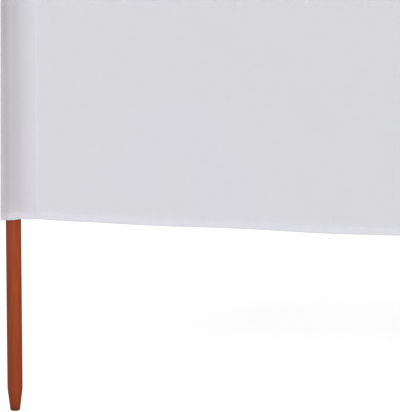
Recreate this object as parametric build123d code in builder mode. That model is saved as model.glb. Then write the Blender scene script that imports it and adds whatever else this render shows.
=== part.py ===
"""Beach windbreak: six bays of light cloth on seven round wooden poles, set out as a shallow zigzag.

Each pole stands in a pocket sewn down the cloth and closed at its top, so the cloth hangs from the
pole tops. The bare lower ends of the poles are tapered, to be driven into sand.

Millimetres. +Z is up and +X runs along the row. The origin is the centre of the first pole's flat tip.
"""

import os
from math import cos, radians, sin

from build123d import *

os.makedirs("parts", exist_ok=True)

# The row
bay_count = 6
bay_length = 1333.0  # pole to pole, measured along the cloth
bay_angle = 10.0  # degrees between a bay and the row's line, toward -Y and +Y in turn

# Poles
pole_diameter = 30.0
pole_length = 1600.0
tip_diameter = 18.6  # flat end of the taper
tip_length = 44.0
shoulder_round = 100.0  # where the taper begins
tip_bevel = 1.5
top_bevel = 3.0

# Cloth
cloth_thickness = 1.0  # one layer
cloth_height = 1230.0
hem_height = 16.0  # turned up at the bottom and down at the top, two layers thick
bottom_sag = 8.3  # how far the lower edge hangs at the middle of a bay
top_sag = 8.0

# Pole pockets
pocket_fit = 0.3  # between pole and cloth, all round and at the pole's top
crease_gap = 0.5  # between the two layers where they come together
fold_reach = 25.0  # pole's axis to the folded edge of an end pocket
fold_turn = 20.0  # degrees that this fold lies round to the front
end_seam_reach = 45.5  # pole's axis to the seam of an end pocket
inner_seam_reach = 36.0  # pole's axis to either seam of an inner pocket
seam_width = 4.0  # the stitched strip beyond a seam, where all layers lie together
mouth_extra = 0.6  # what the turned-up mouth of a pocket adds to its thickness
closing_height = 12.0  # above the pole, where the pocket narrows to its sewn top
closing_slack = 0.4  # how much fuller the sewn top is over the pole than at its ends

pole_radius = pole_diameter / 2
crease_radius = cloth_thickness + crease_gap / 2
seam_thickness = 2 * cloth_thickness
cloth_top = pole_length + pocket_fit + closing_height
cloth_bottom = cloth_top - cloth_height


def bay_direction(bay):
    """Angle of a bay's run from +X, in degrees. Even bays come toward -Y and odd ones go back."""
    return -bay_angle if bay % 2 == 0 else bay_angle


def pole_place(index):
    """X and Y of a pole's axis: the bays before it, laid end to end."""
    runs = [radians(bay_direction(bay)) for bay in range(index)]
    return bay_length * sum(map(cos, runs)), bay_length * sum(map(sin, runs))


def pocket_arms(index):
    """(angle, reach) of each crease of a pocket, and of each seam among them."""
    back = bay_direction(index - 1) + 180 if index > 0 else None
    ahead = bay_direction(index) if index < bay_count else None
    if back is None:
        seams = [(ahead, end_seam_reach)]
        return [*seams, (ahead + 180 + fold_turn, fold_reach - crease_radius)], seams
    if ahead is None:
        seams = [(back, end_seam_reach)]
        return [*seams, (back + 180 - fold_turn, fold_reach - crease_radius)], seams
    seams = [(back, inner_seam_reach), (ahead, inner_seam_reach)]
    return seams, seams


def top_middle(creases, seams):
    """The point of a sewn top that lies over the pole, from its axis. An end pocket's top is sewn straight
    from its fold to its seam, and an inner pocket's bends with the row."""
    if len(seams) == 2:
        return Vector(0, 0)
    first, last = [Vector(reach, 0).rotate(Axis.Z, angle) for angle, reach in creases]
    along = (last - first).normalized()
    return first - along * first.dot(along)


def pocket_outline(plane, creases, radius, crease, middle=(0, 0)):
    """Cloth drawn straight from a round of this radius over the pole to the creases beside it."""
    with BuildSketch(plane) as outline:
        with Locations(middle):
            Circle(radius)
        for angle, reach in creases:
            with PolarLocations(reach, 1, start_angle=angle):
                Circle(crease)
        make_hull()
    return outline.sketch


# Poles: round stakes with a tapered, flat-ended foot
for index in range(bay_count + 1):
    x, y = pole_place(index)
    with BuildPart() as pole:
        with BuildSketch(Plane(origin=(x, y, 0), x_dir=(1, 0, 0), z_dir=(0, -1, 0))):
            with BuildLine():
                Polyline(
                    (0, 0),
                    (tip_diameter / 2, 0),
                    (pole_radius, tip_length),
                    (pole_radius, pole_length),
                    (0, pole_length),
                    close=True,
                )
            make_face()
        revolve(axis=Axis((x, y, 0), (0, 0, 1)))
        rims = pole.edges().filter_by(GeomType.CIRCLE).group_by(Axis.Z)
        chamfer(rims[0], tip_bevel)
        chamfer(rims[-1], top_bevel)
        shoulder = pole.edges().filter_by(GeomType.CIRCLE).filter_by_position(
            Axis.Z, tip_length - 1, tip_length + 1
        )
        fillet(shoulder, shoulder_round)
    pole.part.label = f"pole_{index + 1}"
    export_step(pole.part, f"parts/pole_{index + 1}.step")


def pocket_shell(index):
    """The whole pocket of a pole: walls of one layer, a turned-up mouth, seam strips and a sewn top."""
    x, y = pole_place(index)
    creases, seams = pocket_arms(index)
    cavity_radius = pole_radius + pocket_fit
    cloth_radius = cavity_radius + cloth_thickness
    mouth = Plane((x, y, cloth_bottom))
    shoulder = Plane((x, y, cloth_top - closing_height))
    crown = Plane((x, y, cloth_top))
    with BuildPart() as shell:
        extrude(
            pocket_outline(mouth, creases, cloth_radius, crease_radius),
            amount=cloth_height - closing_height,
        )
        extrude(
            pocket_outline(mouth, creases, cloth_radius + mouth_extra, crease_radius + mouth_extra),
            amount=hem_height,
        )
        closing = [
            pocket_outline(shoulder, creases, cloth_radius, crease_radius),
            pocket_outline(
                crown, creases, crease_radius + closing_slack, crease_radius, top_middle(creases, seams)
            ),
        ]
        loft(closing, ruled=True)
        for angle, reach in seams:
            with BuildSketch(mouth.rotated((0, 0, angle))):
                with Locations((reach, 0)):
                    Rectangle(seam_width, seam_thickness, align=(Align.MIN, Align.CENTER))
            extrude(amount=cloth_height)
        extrude(
            pocket_outline(mouth, creases, cavity_radius, crease_gap / 2),
            amount=cloth_height - closing_height,
            mode=Mode.SUBTRACT,
        )
    return shell.part


# End pockets: the end of the cloth folded back round the pole and sewn down on itself
for index in (0, bay_count):
    with BuildPart() as sleeve:
        add(pocket_shell(index))
    sleeve.part.label = f"sleeve_{index + 1}"
    export_step(sleeve.part, f"parts/sleeve_{index + 1}.step")

# Inner pockets: the cloth runs on in front of the pole, and a strip is sewn to it behind
for index in range(1, bay_count):
    shell = pocket_shell(index)
    creases, seams = pocket_arms(index)
    (back_angle, back_reach), (ahead_angle, ahead_reach) = seams
    depth = 2 * pole_diameter
    with BuildSketch(Plane((*pole_place(index), cloth_bottom))) as behind:
        with BuildLine():
            back_end = PolarLine((0, 0), back_reach + depth, back_angle) @ 1
            ahead_end = PolarLine((0, 0), ahead_reach + depth, ahead_angle) @ 1
            Polyline(back_end, back_end + (0, depth), ahead_end + (0, depth), ahead_end)
        make_face()
    with BuildPart() as sleeve:
        add(shell)
        extrude(behind.sketch, amount=cloth_height, mode=Mode.SUBTRACT)
    sleeve.part.label = f"sleeve_{index + 1}"
    export_step(sleeve.part, f"parts/sleeve_{index + 1}.step")
    with BuildPart() as backing:
        add(shell)
        extrude(behind.sketch, amount=cloth_height, mode=Mode.INTERSECT)
    backing.part.label = f"backing_{index + 1}"
    export_step(backing.part, f"parts/backing_{index + 1}.step")


def strip(plane, start, end, low, low_sag, high, high_sag, folded):
    """Cloth between two seams, its edges hanging in shallow arcs. Folded, it has a second layer behind."""
    middle = (start + end) / 2
    with BuildPart() as piece:
        with BuildSketch(plane):
            with BuildLine():
                ThreePointArc((start, low), (middle, low - low_sag), (end, low))
                Line((end, low), (end, high))
                ThreePointArc((end, high), (middle, high - high_sag), (start, high))
                Line((start, high), (start, low))
            make_face()
        extrude(amount=cloth_thickness, both=folded)
    return piece.part


# Panels and hems: one of each to a bay, between the seams of its two pockets
for bay in range(bay_count):
    x, y = pole_place(bay)
    run = radians(bay_direction(bay))
    upright = Plane(origin=(x, y, 0), x_dir=(cos(run), sin(run), 0), z_dir=(sin(run), -cos(run), 0))
    reaches = [end_seam_reach if pole in (0, bay_count) else inner_seam_reach for pole in (bay, bay + 1)]
    start = reaches[0] + seam_width
    end = bay_length - reaches[1] - seam_width
    hem_top = cloth_bottom + hem_height
    hem_bottom = cloth_top - hem_height
    pieces = {
        "panel": strip(upright, start, end, hem_top, bottom_sag, hem_bottom, top_sag, False),
        "bottom_hem": strip(upright, start, end, cloth_bottom, bottom_sag, hem_top, bottom_sag, True),
        "top_hem": strip(upright, start, end, hem_bottom, top_sag, cloth_top, top_sag, True),
    }
    for name, piece in pieces.items():
        piece.label = f"{name}_{bay + 1}"
        export_step(piece, f"parts/{name}_{bay + 1}.step")
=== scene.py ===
from math import acos, atan2, cos, pi, radians, sin, sqrt

import bpy
import numpy as np
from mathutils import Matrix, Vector, noise


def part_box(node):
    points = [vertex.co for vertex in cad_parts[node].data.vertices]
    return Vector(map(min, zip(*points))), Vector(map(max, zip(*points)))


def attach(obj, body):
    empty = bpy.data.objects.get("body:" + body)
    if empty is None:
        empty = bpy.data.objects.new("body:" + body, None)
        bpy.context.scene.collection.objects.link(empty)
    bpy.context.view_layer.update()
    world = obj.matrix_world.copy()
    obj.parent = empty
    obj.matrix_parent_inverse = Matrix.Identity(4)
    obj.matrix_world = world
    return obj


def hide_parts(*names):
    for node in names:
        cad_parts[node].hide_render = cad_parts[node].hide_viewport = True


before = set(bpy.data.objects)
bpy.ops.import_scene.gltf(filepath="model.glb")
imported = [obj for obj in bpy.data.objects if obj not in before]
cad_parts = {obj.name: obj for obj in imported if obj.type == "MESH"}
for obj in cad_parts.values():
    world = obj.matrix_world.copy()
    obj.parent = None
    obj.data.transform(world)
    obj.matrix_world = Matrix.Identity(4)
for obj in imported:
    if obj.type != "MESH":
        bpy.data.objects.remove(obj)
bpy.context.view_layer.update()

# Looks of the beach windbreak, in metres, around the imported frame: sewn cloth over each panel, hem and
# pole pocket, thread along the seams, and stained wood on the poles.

# ---------------------------------------------------------------- places read from the frame

pole_nodes = sorted((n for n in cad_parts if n.startswith("pole_")), key=lambda n: int(n[5:]))
pole_boxes = [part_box(name) for name in pole_nodes]
bay_count = len(pole_nodes) - 1
poles = [np.array([(lo.x + hi.x) / 2, (lo.y + hi.y) / 2, 0.0]) for lo, hi in pole_boxes]
pole_radius = (pole_boxes[0][1].x - pole_boxes[0][0].x) / 2
pole_top = pole_boxes[0][1].z
cloth_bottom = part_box("sleeve_1")[0].z
cloth_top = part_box("sleeve_1")[1].z
bottom_sag = cloth_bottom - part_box("bottom_hem_1")[0].z
hem_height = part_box("panel_1")[0].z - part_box("bottom_hem_1")[0].z
top_sag = cloth_top - hem_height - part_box("top_hem_1")[0].z
UP = np.array([0.0, 0.0, 1.0])


def unit(vector):
    """The vector, made 1 long."""
    return vector / np.linalg.norm(vector)


def bay_frame(bay):
    """(direction along a bay, normal out of its front) as unit vectors."""
    along = unit(poles[bay + 1] - poles[bay])
    return along, np.array([along[1], -along[0], 0.0])


# ---------------------------------------------------------------- cloth sizes

layer = 0.0006  # thickness of one layer of cloth
layer_gap = 0.0007  # between the middles of two layers sewn together
turned_height = 0.0145  # cloth turned up at a hem or a pocket's mouth
hem_stitch_height = 0.0125  # the line of stitches that holds it, from the edge
seam_width = 0.004
bay_angle = acos(bay_frame(0)[0][0])
bay_length = float(np.linalg.norm(poles[1] - poles[0]))

# Pole pockets
pocket_fit = 0.0011  # pole's surface to the middle of the cloth round it
end_seam_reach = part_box("panel_1")[0].x / cos(bay_angle) - seam_width
inner_seam_reach = 0.036  # pole's axis to either seam of an inner pocket
fold_turn = radians(20)  # how far an end pocket's fold lies round to the front
fold_radius = 0.0016
packed_crease = 0.0013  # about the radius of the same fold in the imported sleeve
packed_mouth_extra = 0.0006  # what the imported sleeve's mouth adds to that radius
fold_width = (poles[0][0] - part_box("sleeve_1")[0].x) - (packed_crease + packed_mouth_extra)
fold_reach = fold_width / cos(fold_turn - bay_angle) + packed_crease
mouth_flare = 0.0042  # how much further an end pocket's fold stands out at its mouth
mouth_flare_height = 0.43  # above the mouth, where that and its drop have died away
mouth_drop = 0.003  # how much lower that fold hangs than the rest of the mouth
mouth_stand = 0.003  # how far the mouth stands off the pole
mouth_rise = 0.0018  # how much higher the mouth's edge is drawn just beside the pole, toward the seam
mouth_height = 0.045  # above the mouth's edge, where both of these have died away
closing_start = 0.004  # below the pole's top, where the pocket begins to narrow
sewn_top = 0.0035  # below the cloth's top, where the pocket has narrowed all the way
sewn_gap = 0.0005  # from the middle of a pocket's sewn top to either layer
corner_softness = 0.04  # how far a soft corner in a wall reaches toward its seams, as a share
turn_spacing = 0.012  # in spacing a pocket's points, what a turn of one radian adds to its length

# Points of the meshes
ring_points = 31  # round a pole, before they are spaced out
wall_points = 27  # across an inner pocket, between its seams
half_points = 29  # from an end pocket's seam to its fold
fold_points = 9  # round that fold
pocket_row_count = 120  # of a pocket, between its mouth and the pole's top
panel_row_count = 46  # of a bay, between its edge zones
edge_zone = 0.03  # beside a hem or seam, where the cloth has points closer together

# How the cloth of a bay swells and puckers
belly_depth = 0.010
corner_fold_depth = 0.0022  # folds that fan out from the upper corners
corner_fold_turn = 9  # how fast they follow each other round the corner
corner_fold_seam = 0.12  # beside the seam, over which they come in
corner_fold_start = 0.25  # from the corner, where they are fully there
corner_fold_reach = 0.55  # how far they run before they have mostly died away
pucker_depth = 0.00035
pucker_spread = 0.011  # either side of the middle of the puckers
pucker_line = 0.014  # from the edge to that middle
seam_flat = 0.03  # beside a seam, over which these folds and puckers come in
seam_pull = 0.0004  # puckers along a pocket's seam
seam_pull_start = 0.003  # beside the seam, over which they come in
seam_pull_spread = 0.014
loose_slow_swell = 0.0006  # slow swell of the loose cloth beside a pole
loose_quick_swell = 0.00035
# Waves of the lower edge: height up and down, pitch, a crest of the first bay's from its pole, and how far
# each bay's waves are turned from the last one's
edge_waves = ((0.0007, 0.31, 0.446, 2.3), (0.0013, 0.77, 0.41, 1.9))
edge_wave_height = 0.12  # how far up the cloth they mostly reach


# ---------------------------------------------------------------- mesh helpers


def new_object(name, vertices, faces, material, sharp_angle=50):
    """A smooth object whose edges that turn by more than sharp_angle degrees stay sharp."""
    mesh = bpy.data.meshes.new(name)
    mesh.from_pydata(vertices.tolist(), [], faces)
    mesh.polygons.foreach_set("use_smooth", [True] * len(mesh.polygons))
    mesh.set_sharp_from_angle(angle=radians(sharp_angle))
    mesh.materials.append(material)
    piece = bpy.data.objects.new(name, mesh)
    bpy.context.scene.collection.objects.link(piece)
    return piece


def thick_sheet(middle, thickness):
    """Vertices and faces of a closed sheet of even thickness round a grid of middle points."""
    rows, columns = middle.shape[:2]
    across = np.gradient(middle, axis=1)
    up = np.gradient(middle, axis=0)
    normals = np.cross(across, up)
    normals /= np.linalg.norm(normals, axis=2, keepdims=True)
    front = (middle + normals * thickness / 2).reshape(-1, 3)
    back = (middle - normals * thickness / 2).reshape(-1, 3)
    index = np.arange(rows * columns).reshape(rows, columns)
    other = index + rows * columns
    a, b, c, d = index[:-1, :-1], index[:-1, 1:], index[1:, 1:], index[1:, :-1]
    quads = [np.stack([a, b, c, d], -1).reshape(-1, 4)]
    quads.append(np.stack([d, c, b, a], -1).reshape(-1, 4) + rows * columns)
    border = np.concatenate([index[0, :], index[1:, -1], index[-1, -2::-1], index[-2:0:-1, 0]])
    border_back = np.concatenate([other[0, :], other[1:, -1], other[-1, -2::-1], other[-2:0:-1, 0]])
    following, following_back = np.roll(border, -1), np.roll(border_back, -1)
    quads.append(np.stack([border, border_back, following_back, following], -1))
    return np.concatenate([front, back]), np.concatenate(quads).tolist()


def stitches(points, normals, length=0.0026, width=0.0007, share=0.78):
    """Vertices and faces of thread stitches laid end to end along a line of points. Each is three-sided,
    with a flat side down and pointed ends."""
    steps = np.linalg.norm(np.diff(points, axis=0), axis=1)
    travelled = np.concatenate([[0], np.cumsum(steps)])
    count = int(travelled[-1] / (length / share))
    centres = (np.arange(count) + 0.5) * travelled[-1] / count

    def at(distance, values):
        return np.stack([np.interp(distance, travelled, values[:, k]) for k in range(3)], -1)

    middle = at(centres, points)
    out = at(centres, normals)
    out /= np.linalg.norm(out, axis=1, keepdims=True)
    along = at(centres + length / 2, points) - at(centres - length / 2, points)
    along /= np.linalg.norm(along, axis=1, keepdims=True)
    side = np.cross(out, along)
    corners = [(-0.5, 0, 0)]
    for reach in (-0.3, 0.3):
        corners += [(reach, 0.5, -0.1), (reach, 0, 0.45), (reach, -0.5, -0.1)]
    corners.append((0.5, 0, 0))
    vertices = np.stack(
        [middle + along * x * length + side * y * width + out * z * width for x, y, z in corners], 1
    )
    shape = []
    for corner, following in ((1, 2), (2, 3), (3, 1)):
        shape += [(0, following, corner), (corner, following, following + 3, corner + 3)]
        shape.append((7, corner + 3, following + 3))
    faces = [tuple(len(corners) * n + k for k in face) for n in range(count) for face in shape]
    return vertices.reshape(-1, 3), faces


def joined(parts):
    """One set of vertices and faces from several."""
    vertices, faces, start = [], [], 0
    for some_vertices, some_faces in parts:
        vertices.append(some_vertices)
        faces += [tuple(k + start for k in face) for face in some_faces]
        start += len(some_vertices)
    return np.concatenate(vertices), faces


# ---------------------------------------------------------------- materials


def node_material(name):
    """(material, its nodes, a function that links, its Principled shader)"""
    material = bpy.data.materials.new(name)
    material.use_nodes = True
    nodes, links = material.node_tree.nodes, material.node_tree.links
    return material, nodes, links.new, nodes["Principled BSDF"]


def coordinates(nodes, link, scale, shift=(0, 0, 0)):
    """The object's own coordinates, scaled and then shifted."""
    place = nodes.new("ShaderNodeTexCoord")
    mapping = nodes.new("ShaderNodeMapping")
    mapping.inputs["Scale"].default_value = scale
    mapping.inputs["Location"].default_value = shift
    link(place.outputs["Object"], mapping.inputs["Vector"])
    return mapping.outputs["Vector"]


def ramp(nodes, link, factor, stops):
    """A colour ramp over factor. stops are (position, colour)."""
    node = nodes.new("ShaderNodeValToRGB")
    while len(node.color_ramp.elements) < len(stops):
        node.color_ramp.elements.new(0.5)
    for element, (position, colour) in zip(node.color_ramp.elements, stops):
        element.position = position
        element.color = (*colour, 1)
    link(factor, node.inputs["Fac"])
    return node.outputs["Color"]


def combine(nodes, link, operation, first, second):
    """A math node over two sockets, kept between 0 and 1."""
    node = nodes.new("ShaderNodeMath")
    node.operation = operation
    node.use_clamp = True
    link(first, node.inputs[0])
    link(second, node.inputs[1])
    return node.outputs[0]


def noise_texture(nodes, link, vector, scale, detail, roughness=0.5):
    """A noise texture's grey value over these coordinates."""
    node = nodes.new("ShaderNodeTexNoise")
    node.inputs["Scale"].default_value = scale
    node.inputs["Detail"].default_value = detail
    node.inputs["Roughness"].default_value = roughness
    link(vector, node.inputs["Vector"])
    return node.outputs["Fac"]


def multiplied(nodes, link, first, second):
    """The product of two colours."""
    node = nodes.new("ShaderNodeMix")
    node.data_type = "RGBA"
    node.blend_type = "MULTIPLY"
    node.inputs["Factor"].default_value = 1.0
    link(first, node.inputs["A"])
    link(second, node.inputs["B"])
    return node.outputs["Result"]


def share_of_height(nodes, link, low, high):
    """0 at one height of the object and 1 at another."""
    split = nodes.new("ShaderNodeSeparateXYZ")
    link(coordinates(nodes, link, (1, 1, 1)), split.inputs["Vector"])
    share = nodes.new("ShaderNodeMapRange")
    share.inputs["From Min"].default_value = low
    share.inputs["From Max"].default_value = high
    link(split.outputs["Z"], share.inputs["Value"])
    return share.outputs["Result"]


def cloth_material():
    """Thin plain-woven polyester, off-white with a faint lilac cast, that lets some light through."""
    material, nodes, link, shader = node_material("woven_cloth")
    output = nodes["Material Output"]
    cloudy = noise_texture(nodes, link, coordinates(nodes, link, (1, 1, 1)), 2.2, 2.0)
    tone = ramp(nodes, link, cloudy, [(0.3, (0.964, 0.965, 0.982)), (0.7, (0.962, 0.958, 0.992))])
    warp = noise_texture(nodes, link, coordinates(nodes, link, (1400, 1400, 35)), 1.0, 1.0)
    weft = noise_texture(nodes, link, coordinates(nodes, link, (35, 35, 1400)), 1.0, 1.0)
    uneven = [(0.3, (0.988, 0.988, 0.988)), (0.7, (1, 1, 1))]
    threads = multiplied(nodes, link, ramp(nodes, link, warp, uneven), ramp(nodes, link, weft, uneven))
    colour = multiplied(nodes, link, tone, threads)
    link(colour, shader.inputs["Base Color"])
    shader.inputs["Roughness"].default_value = 0.72
    shader.inputs["Specular IOR Level"].default_value = 0.25
    shader.inputs["Sheen Weight"].default_value = 0.15
    shader.inputs["Sheen Roughness"].default_value = 0.4
    bump = nodes.new("ShaderNodeBump")
    bump.inputs["Strength"].default_value = 1.0
    bump.inputs["Distance"].default_value = 0.009
    link(threads, bump.inputs["Height"])
    link(bump.outputs["Normal"], shader.inputs["Normal"])
    through = nodes.new("ShaderNodeBsdfTranslucent")
    link(colour, through.inputs["Color"])
    link(bump.outputs["Normal"], through.inputs["Normal"])
    mix = nodes.new("ShaderNodeMixShader")
    mix.inputs["Fac"].default_value = 0.705
    link(shader.outputs["BSDF"], mix.inputs[1])
    link(through.outputs["BSDF"], mix.inputs[2])
    link(mix.outputs["Shader"], output.inputs["Surface"])
    return material


def thread_material():
    """White polyester thread with a fine twist."""
    material, nodes, link, shader = node_material("sewing_thread")
    twist = noise_texture(nodes, link, coordinates(nodes, link, (1, 1, 1)), 2400, 1.0)
    colour = ramp(nodes, link, twist, [(0.3, (0.72, 0.72, 0.75)), (0.7, (0.80, 0.80, 0.82))])
    link(colour, shader.inputs["Base Color"])
    shader.inputs["Roughness"].default_value = 0.5
    return material


def wood_material():
    """Softwood under a red-brown stain, with long grain along the pole. It is darker toward the foot and on
    its cut taper. One side of the pole is painted darker as painted shade, and the wood under the pocket is
    painted dark brown as painted shade."""
    material, nodes, link, shader = node_material("stained_softwood_painted_shade")
    grain = noise_texture(nodes, link, coordinates(nodes, link, (1, 1, 0.035)), 420, 4.0, 0.6)
    fibre = noise_texture(nodes, link, coordinates(nodes, link, (1, 1, 0.012)), 1500, 2.0, 0.5)
    grain_and_side_shade = ramp(
        nodes,
        link,
        grain,
        [(0.25, (0.262, 0.040, 0.008)), (0.5, (0.318, 0.052, 0.011)), (0.78, (0.368, 0.066, 0.0155))],
    )
    streaks = ramp(nodes, link, fibre, [(0.3, (0.86, 0.84, 0.82)), (0.6, (1, 1, 1))])
    # Darker toward the foot, and much darker over its lowest centimetre.
    foot_height = 0.27
    tones = [(0, 0.34), (0.012, 0.42), (0.021, 0.64), (0.037, 0.745), (0.08, 0.88), (0.5, 0.89), (1, 1)]
    foot = ramp(
        nodes,
        link,
        share_of_height(nodes, link, 0, foot_height),
        [(place, (tone, tone, tone)) for place, tone in tones],
    )
    # Painted shade: a broad noise across the pole paints one side of it darker, as if lit from the other
    # side.
    side = noise_texture(nodes, link, coordinates(nodes, link, (1, 1, 0.01), (0.392, 0, 0)), 45, 0.0)
    painted_side_shade = ramp(nodes, link, side, [(0.36, (0.80, 0.82, 0.84)), (0.64, (1, 1, 1))])
    grain_and_side_shade = multiplied(nodes, link, grain_and_side_shade, painted_side_shade)
    bare = multiplied(nodes, link, multiplied(nodes, link, grain_and_side_shade, streaks), foot)
    # Painted shade: where the pocket covers the pole, the wood is painted dark brown so the cloth over it
    # looks darker. The mix below turns the bare stain into this above the pocket's mouth.
    painted_pocket_shade = ramp(nodes, link, grain, [(0.3, (0.085, 0.035, 0.02)), (0.7, (0.125, 0.05, 0.028))])
    stain = nodes.new("ShaderNodeMix")
    stain.data_type = "RGBA"
    covered_blend = 0.03  # over which the bare stain turns to the painted shade under the pocket
    pocket_shade_mask = share_of_height(nodes, link, cloth_bottom, cloth_bottom + covered_blend)
    link(pocket_shade_mask, stain.inputs["Factor"])
    link(bare, stain.inputs["A"])
    link(painted_pocket_shade, stain.inputs["B"])
    link(stain.outputs["Result"], shader.inputs["Base Color"])
    shader.inputs["Roughness"].default_value = 0.55
    shader.inputs["Specular IOR Level"].default_value = 0.2
    bump = nodes.new("ShaderNodeBump")
    bump.inputs["Strength"].default_value = 0.3
    bump.inputs["Distance"].default_value = 0.0003
    link(fibre, bump.inputs["Height"])
    link(bump.outputs["Normal"], shader.inputs["Normal"])
    return material


cloth = cloth_material()
thread = thread_material()
wood = wood_material()
for name in pole_nodes:
    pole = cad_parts[name]
    pole.data.materials.clear()
    pole.data.materials.append(wood)


# ---------------------------------------------------------------- the cloth of a bay


def ease(value):
    """0 to 1, smoothly, as value goes from 0 to 1."""
    value = np.clip(value, 0, 1)
    return value * value * (3 - 2 * value)


def waves(distance, seed, pitch):
    """Uneven waves along a seam, between -1 and 1."""
    turn = 2 * pi * distance / pitch
    drift = 1.3 * np.sin(0.23 * turn + seed) + 0.8 * np.sin(0.61 * turn + 2.1 * seed)
    return 0.62 * np.sin(turn + drift) + 0.38 * np.sin(1.71 * turn + 1.4 * drift + 3.3 * seed)


def reach_of(pole):
    """Pole's axis to the seam beside it."""
    return end_seam_reach if pole in (0, bay_count) else inner_seam_reach


def bay_surface(bay, run, height, offset):
    """Points of a bay's cloth. run is the distance from its first pole along the cloth, height is a place
    between its edges as if they were level, and offset is how far in front of the middle layer it lies."""
    along, front = bay_frame(bay)
    start = reach_of(bay)
    end = bay_length - reach_of(bay + 1)
    share = np.clip((run - start) / (end - start), 0, 1)
    level = (height - cloth_bottom) / (cloth_top - cloth_bottom)
    arch = 4 * share * (1 - share)
    drop = arch * (bottom_sag * (1 - level) + top_sag * level)
    near_edge = ease(4 * arch) * np.exp(-np.abs(height - cloth_bottom) / edge_wave_height)
    for rise, pitch, crest, turn in edge_waves:
        drop = drop - rise * np.cos(2 * pi * (run - crest) / pitch + turn * bay) * near_edge
    belly = belly_depth * np.sin(pi * share) * (0.75 + 0.25 * np.sin(pi * np.clip(level, 0, 1)))
    swell = belly * (1 if bay % 2 == 0 else -1)
    left, right = run - start, end - run
    below = cloth_top - height
    folds = np.zeros_like(swell)
    for side, (reach, phase) in enumerate(((left, 0.7 + bay), (right, 2.9 + 1.7 * bay))):
        distance = np.hypot(reach, below) + 1e-6
        angle = np.arctan2(below, reach + 1e-9)
        fan = np.sin(corner_fold_turn * angle + phase) * np.sin(angle) ** 2 * ease(reach / corner_fold_seam)
        fading = ease(distance / corner_fold_start) * np.exp(-distance / corner_fold_reach)
        folds += corner_fold_depth * fan * fading
    hem_seam = height - (cloth_bottom + pucker_line)
    top_seam = (cloth_top - pucker_line) - height
    pucker = waves(run, 1.0 + bay, 0.021) * np.exp(-((hem_seam / pucker_spread) ** 2)) * pucker_depth
    pucker += waves(run, 4.0 + bay, 0.023) * np.exp(-((top_seam / pucker_spread) ** 2)) * pucker_depth
    inside = np.minimum(left, right)
    pulled = waves(height, 2.0 + bay, 0.021) * np.exp(-inside / seam_pull_spread) * seam_pull
    lift = swell + (folds + pucker) * ease(inside / seam_flat) + pulled * ease(inside / seam_pull_start)
    points = poles[bay] + along * run[..., None] + UP * (height - drop)[..., None]
    return points + front * (offset + lift)[..., None]


def graded(start, end, fine, coarse, margin):
    """Places from start to end, fine within a margin of each end and coarse between."""
    near = np.linspace(0, margin, int(round(margin / fine)) + 1)
    middle = np.linspace(margin, end - start - margin, int(round((end - start - 2 * margin) / coarse)) + 1)
    return start + np.concatenate([near, middle[1:-1], end - start - near[::-1]])


def turned_edge(edge, inward):
    """(height, offset) of a hem's turned-up layer and of the fold at its edge, from its sewn edge on.
    inward is +1 where the cloth lies above the edge and -1 where it lies below."""
    bend = layer_gap / 2
    shares = (1, 0.8, 0.55, 0.3, 0.12)
    heights = [edge + inward * (bend + share * (turned_height - bend)) for share in shares]
    places = [(height, -2 * bend) for height in heights]
    for step in range(5):
        turn = pi * step / 4
        places.append((edge + inward * (bend - bend * sin(turn)), -bend - bend * cos(turn)))
    return places


def panel_runs(bay):
    """Places of a bay's columns of points, from its first pole along the cloth."""
    clearance = 0.0003
    start = reach_of(bay) + clearance
    end = bay_length - reach_of(bay + 1) - clearance
    return graded(start, end, fine=0.003, coarse=0.006, margin=edge_zone)


def panel_cloth(bay, sewing):
    """The cloth of a bay with its two hems turned to the back, as one sheet. sewing, its thread, is not
    used.
    """
    runs = panel_runs(bay)
    lower = turned_edge(cloth_bottom, 1)
    upper = turned_edge(cloth_top, -1)[::-1]
    near_edge = np.array([0.002, 0.006, 0.010, 0.0125, 0.0145, 0.017, 0.021, 0.025])
    middle = np.linspace(cloth_bottom + edge_zone, cloth_top - edge_zone, panel_row_count)
    heights = [*(cloth_bottom + near_edge), *middle, *(cloth_top - near_edge[::-1])]
    rows = lower + [(height, 0.0) for height in heights] + upper
    level_rows = [(np.full_like(runs, height), offset) for height, offset in rows]
    grid = np.stack([bay_surface(bay, runs, level, offset) for level, offset in level_rows])
    piece = new_object(f"cloth_{bay + 1}", *thick_sheet(grid, layer), cloth)
    number = bay + 1
    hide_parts(f"panel_{number}", f"bottom_hem_{number}", f"top_hem_{number}")
    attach(piece, "root")


def hem_thread(bay):
    """The stitched lines of a bay's hems, front and back."""
    start, end = reach_of(bay) + seam_width, bay_length - reach_of(bay + 1) - seam_width
    runs = panel_runs(bay)
    runs = runs[(runs > start) & (runs < end)]
    front = bay_frame(bay)[1]
    lines = []
    for height in (cloth_bottom + hem_stitch_height, cloth_top - hem_stitch_height):
        for offset, facing in ((layer / 2, 1), (-layer_gap - layer / 2, -1)):
            points = bay_surface(bay, runs, np.full_like(runs, height), offset)
            lines.append(stitches(points, np.tile(front * facing, (len(runs), 1))))
    return thread_piece(f"hem_thread_{bay + 1}", lines)


def thread_piece(name, lines):
    """One piece from several lines of stitches."""
    piece = new_object(name, *joined(lines), thread)
    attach(piece, "root")
    return piece


for bay in range(bay_count):
    panel_cloth(bay, hem_thread(bay))


# ---------------------------------------------------------------- pole pockets


def touch_angle(point, radius, turn):
    """Where a straight line from the point meets a circle round the pole. turn is +1 or -1."""
    reach = max(np.linalg.norm(point), radius * 1.0001)
    return atan2(point[1], point[0]) + turn * acos(radius / reach)


def spread(first, last, count):
    """This many numbers from first to last, evenly."""
    return [first + (last - first) * k / (count - 1) for k in range(count)]


def round_pole(radius, first, last):
    """Points in plan on a circle round the pole's axis, from one angle to another."""
    return [radius * np.array([cos(angle), sin(angle)]) for angle in spread(first, last, ring_points)]


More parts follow.
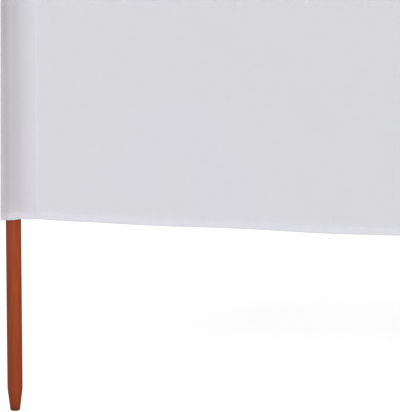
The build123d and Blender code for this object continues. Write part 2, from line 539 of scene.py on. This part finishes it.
def sampled(path, count):
    """This many points along a path in plan, closer together where it turns."""
    path = np.array(path)
    steps = np.diff(path, axis=0)
    lengths = np.linalg.norm(steps, axis=1)
    moved = lengths > 1e-8
    path = np.concatenate([path[:1], path[1:][moved]])
    heading = np.unwrap(np.arctan2(steps[moved, 1], steps[moved, 0]))
    turned = np.abs(np.diff(heading, prepend=heading[0]))
    travelled = np.concatenate([[0], np.cumsum(lengths[moved] + turn_spacing * turned)])
    places = np.linspace(0, travelled[-1], count)
    return list(np.stack([np.interp(places, travelled, path[:, k]) for k in (0, 1)], -1))


def end_bay(pole):
    """The one bay beside an end pole."""
    return 0 if pole == 0 else bay_count - 1


def seam_gap(inward):
    """From the middle of a pocket's seam to either layer, less where the layer is turned up inside."""
    return layer_gap * 1.35 - inward * 0.4


def arm(pole, bay):
    """(direction from the pole along the bay, its front normal) in plan."""
    along, front = bay_frame(bay)
    away = along if bay == pole else -along
    return away[:2], front[:2]


def wall(pole, radius, gap, side):
    """Plan of one wall of an inner pocket from the earlier bay's seam to the next one's, tight round this
    radius. Near the sewn top of a wall inside the row's bend, a straight wall would pass outside that
    radius, and the wall is drawn in to it at a soft corner. side is +1 for the front wall and -1 for the
    back one."""
    (back, back_front), (ahead, ahead_front) = arm(pole, pole - 1), arm(pole, pole)
    reach = inner_seam_reach
    first = back * reach + back_front * gap * side
    last = ahead * reach + ahead_front * gap * side
    start = touch_angle(first, radius, side)
    sweep = (side * (touch_angle(last, radius, -side) - start) + pi) % (2 * pi) - pi
    if sweep > 0:
        ring = round_pole(radius, start, start + side * sweep)
    else:
        facing = start + side * sweep / 2
        corner = radius * np.array([cos(facing), sin(facing)])
        bend = [((1 - share) ** 2, share**2) for share in spread(0, 1, ring_points)]
        pull = [(first - corner) * near + (last - corner) * far for near, far in bend]
        ring = [corner + corner_softness * toward for toward in pull]
    points = [first + back * seam_width, first + back * seam_width / 2]
    points += sampled([first, *ring, last], wall_points)
    return points + [last + ahead * seam_width / 2, last + ahead * seam_width]


def folded(pole, radius, gap, reach, closed):
    """Plan of an end pocket, from its seam round the front of the pole, the fold and the back to the seam.
    closed goes from 0 to 1 as the pocket narrows to its top, which is sewn straight from seam to fold."""
    away, front = arm(pole, end_bay(pole))
    seam = np.array([end_seam_reach, gap])
    bend_radius = fold_radius + closed * (sewn_gap - fold_radius)
    fold = (reach - bend_radius) * np.array([-cos(fold_turn), sin(fold_turn)])
    straight_top = unit(seam - fold)
    middle = closed * (fold - straight_top * (fold @ straight_top))
    toward_fold = fold - middle
    facing = atan2(toward_fold[1], toward_fold[0])
    lean = acos((radius - bend_radius) / np.linalg.norm(toward_fold))
    start = touch_angle(seam - middle, radius, 1)
    end = touch_angle(seam * (1, -1) - middle, radius, -1) + 2 * pi
    turns = spread(facing - lean, facing + lean, fold_points)
    bend = [fold + bend_radius * np.array([cos(angle), sin(angle)]) for angle in turns]
    ring = [middle + point for point in round_pole(radius, start, max(turns[0], start))]
    back_ring = [middle + point for point in round_pole(radius, turns[-1], max(end, turns[-1]))]
    points = [seam + (seam_width, 0), seam + (seam_width / 2, 0)]
    points += sampled([seam, *ring, bend[0]], half_points) + bend[1:-1]
    points += sampled([bend[-1], *back_ring, seam * (1, -1)], half_points)
    points += [point * (1, -1) for point in points[1::-1]]
    return [away * x + front * y for x, y in points]


def pocket_rows():
    """(height, inward offset) of each row of a pocket's wall: the layer turned up inside its mouth,
    the fold at the mouth's edge, and the wall up to the sewn top."""
    rows = [(height, -offset) for height, offset in turned_edge(cloth_bottom, 1)]
    above_mouth = (0.0015, 0.004, 0.007, 0.010, 0.013, 0.016, 0.020, 0.025)
    heights = [cloth_bottom + step for step in above_mouth]
    heights += list(np.linspace(cloth_bottom + edge_zone, pole_top - 0.012, pocket_row_count))
    over_pole = (0, 0.004, 0.007, 0.009, 0.011, 0.0125, 0.014, 0.0155, 0.018)
    heights += [pole_top - 0.006 + step for step in over_pole]
    return rows + [(height, 0.0) for height in heights]


def wall_radius(height, inward):
    """(radius of the cloth round the pole, how far the pocket has closed over the pole's end)."""
    stand = mouth_stand * (1 - ease((height - cloth_bottom) / mouth_height))
    full = pole_radius + pocket_fit + stand - inward
    closing = cloth_top - sewn_top - (pole_top - closing_start)
    share = min(max((height - (pole_top - closing_start)) / closing, 0), 1)
    radius = sewn_gap + (full - sewn_gap) * sqrt(max(1 - share * share, 0))
    return radius, 1 - (radius - sewn_gap) / (full - sewn_gap)


def pocket_wobble(pole, height, plan, side_seed):
    """Small uneven swell of the loose cloth beside the pole, in metres outward."""
    seam_side = 0.0445  # from the pole's axis, where the swell ends
    across = np.linalg.norm(plan, axis=1)
    loose = ease((across - pole_radius * 1.05) / 0.006) * ease((seam_side - across) / 0.012)
    slow = noise.noise(Vector((pole * 3.1, side_seed, height * 6.0)))
    quick = waves(np.float64(height), pole + side_seed, 0.036)
    return loose * (loose_slow_swell * slow + loose_quick_swell * quick)


def drop_of(pole, plan, height):
    """How far an end pocket hangs down toward its loose fold, less what is drawn up beside the pole.
    Both are most at the mouth."""
    if pole not in (0, bay_count):
        return np.zeros(len(plan))
    toward_seam = plan @ arm(pole, end_bay(pole))[0]
    share = np.clip(-toward_seam / (fold_reach * cos(fold_turn)), 0, 1)
    hang = mouth_drop * share * (1 - ease((height - cloth_bottom) / mouth_flare_height))
    rise_spread = 0.007
    beside = np.exp(-(((toward_seam - pole_radius * 1.2) / rise_spread) ** 2))
    return hang - mouth_rise * beside * (1 - ease((height - cloth_bottom) / mouth_height))


def pocket_sheet(pole, plan_at, side_seed):
    """A pocket's grid of points, from a function that gives the plan at a height and an inward offset,
    with the swell and hang of loose cloth added."""
    grid = []
    for height, inward in pocket_rows():
        plan = np.array(plan_at(height, inward))
        outward = plan / np.maximum(np.linalg.norm(plan, axis=1, keepdims=True), 1e-6)
        facing = np.stack([np.zeros(len(plan)), np.sign(outward[:, 1])], -1)
        plan = plan + facing * np.reshape(pocket_wobble(pole, height, plan, side_seed), (-1, 1))
        level = height - drop_of(pole, plan, height)
        grid.append(np.column_stack([plan + poles[pole][:2], level]))
    return np.array(grid)


def end_pocket(pole):
    """Points of an end pocket's cloth, in rows from the mouth up."""

    def plan_at(height, inward):
        flare = mouth_flare * (1 - min((height - cloth_bottom) / mouth_flare_height, 1))
        reach = fold_reach - mouth_flare + flare - inward
        radius, closed = wall_radius(height, inward)
        return folded(pole, radius, seam_gap(inward), reach, closed)

    grid = pocket_sheet(pole, plan_at, 1.0)
    if pole == 0:
        grid = grid[:, ::-1]
    return grid


def inner_wall(pole, side):
    """Points of an inner pocket's front wall (+1) or back one (-1), in rows from the mouth up."""

    def plan_at(height, inward):
        return wall(pole, wall_radius(height, inward)[0], seam_gap(inward), side)

    grid = pocket_sheet(pole, plan_at, 3.0 + side)
    return grid if side > 0 else grid[:, ::-1]


def pocket_thread(grid):
    """Stitches on the outside of a pocket's wall: down its seams, round its mouth and across its top."""
    across, up = np.gradient(grid, axis=1), np.gradient(grid, axis=0)
    normals = np.cross(across, up)
    normals /= np.linalg.norm(normals, axis=2, keepdims=True)
    outside = grid + normals * layer / 2
    edge_row = len(turned_edge(0, 1))
    lines = [stitches(outside[edge_row:, column], normals[edge_row:, column]) for column in (1, -2)]
    mouth_row = edge_row + 4
    for row in (mouth_row, -2):
        lines.append(stitches(outside[row, 2:-2], normals[row, 2:-2]))
    return lines


def pocket_piece(name, node, sewing_name, grid, pole):
    """A pocket's wall, which stands for a CAD node of the same pole, and its thread. The wall is wider
    than that at its mouth and narrower at its sewn top."""
    piece = new_object(f"{name}_{pole + 1}", *thick_sheet(grid, layer), cloth)
    sewing = thread_piece(f"{sewing_name}_{pole + 1}", pocket_thread(grid))
    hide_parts(f"{node}_{pole + 1}")
    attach(piece, "root")


for pole in range(bay_count + 1):
    if pole in (0, bay_count):
        pocket_piece("pocket", "sleeve", "seam_thread", end_pocket(pole), pole)
    else:
        pocket_piece("pocket_cloth", "sleeve", "seam_thread", inner_wall(pole, 1), pole)
        pocket_piece("backing_cloth", "backing", "backing_thread", inner_wall(pole, -1), pole)


# ---------------------------------------------------------------- floor, light and camera


def make_floor():
    """A wide pale floor that keeps the shadow and shows white where it is fully lit."""
    size = 60.0
    corners = np.array([(-size, -size, 0), (size, -size, 0), (size, size, 0), (-size, size, 0)])
    material, nodes, link, shader = node_material("pale_floor")
    shader.inputs["Base Color"].default_value = (0.5, 0.5, 0.5, 1)
    shader.inputs["Roughness"].default_value = 1.0
    shader.inputs["Specular IOR Level"].default_value = 0.0
    seen = nodes.new("ShaderNodeLightPath")
    glow = nodes.new("ShaderNodeEmission")
    link(seen.outputs["Is Camera Ray"], glow.inputs["Strength"])
    glow.inputs["Color"].default_value = (0.71, 0.71, 0.71, 1)
    both = nodes.new("ShaderNodeAddShader")
    link(shader.outputs["BSDF"], both.inputs[0])
    link(glow.outputs["Emission"], both.inputs[1])
    link(both.outputs["Shader"], nodes["Material Output"].inputs["Surface"])
    floor = new_object("floor", corners, [(0, 1, 2, 3)], material)


def make_world():
    """Soft white light all round, and plain white where the camera or a reflection sees it."""
    world = bpy.data.worlds.new("studio")
    bpy.context.scene.world = world
    world.use_nodes = True
    nodes, link = world.node_tree.nodes, world.node_tree.links.new
    soft = nodes["Background"]  # also what a ray meets that spread on its way through the cloth
    soft.inputs["Color"].default_value = (1.0, 1.0, 1.0, 1)
    soft.inputs["Strength"].default_value = 0.425
    white = nodes.new("ShaderNodeBackground")
    white.inputs["Color"].default_value = (1.0, 1.0, 1.0, 1)
    white.inputs["Strength"].default_value = 1.0
    path = nodes.new("ShaderNodeLightPath")
    outputs = path.outputs
    mirrored = combine(nodes, link, "MAXIMUM", outputs["Is Camera Ray"], outputs["Is Glossy Ray"])
    clear = combine(nodes, link, "SUBTRACT", outputs["Is Transmission Ray"], outputs["Is Diffuse Ray"])
    mix = nodes.new("ShaderNodeMixShader")
    link(combine(nodes, link, "MAXIMUM", mirrored, clear), mix.inputs["Fac"])
    link(soft.outputs["Background"], mix.inputs[1])
    link(white.outputs["Background"], mix.inputs[2])
    link(mix.outputs["Shader"], nodes["World Output"].inputs["Surface"])


def make_sun(name, strength, azimuth, elevation, angle):
    """A wide soft sun from a place round the object. Azimuth 0 is in front, 90 to its right."""
    lamp = bpy.data.lights.new(name, "SUN")
    lamp.energy = strength
    lamp.angle = radians(angle)
    sun = bpy.data.objects.new(name, lamp)
    bpy.context.scene.collection.objects.link(sun)
    a, e = radians(azimuth), radians(elevation)
    toward = Vector((sin(a) * cos(e), -cos(a) * cos(e), sin(e)))
    sun.rotation_euler = toward.to_track_quat("Z", "Y").to_euler()


def make_camera():
    """Looks at the lower end of the first bay from in front and a little above, close and long-lensed."""
    distance, pitch = 6.7, radians(10.0)
    seen_side = 0.800  # the picture's longer side, at the cloth
    from_pole = 0.362524  # the picture's middle, from the first pole
    above_mouth = 0.0242  # and from the cloth's lower edge
    target = np.array([from_pole, 0.0, cloth_bottom + above_mouth])
    data = bpy.data.cameras.new("camera")
    data.sensor_width = 36.0
    data.lens = data.sensor_width * distance / seen_side
    camera = bpy.data.objects.new("camera", data)
    bpy.context.scene.collection.objects.link(camera)
    camera.location = target + distance * np.array([0.0, -cos(pitch), sin(pitch)])
    camera.rotation_euler = (pi / 2 - pitch, 0.0, 0.0)
    data.clip_end = 200.0
    bpy.context.scene.camera = camera


make_floor()
make_world()
make_sun("key", 2.9, 1, 35, 50)
make_camera()
bpy.context.scene.view_settings.view_transform = "Standard"
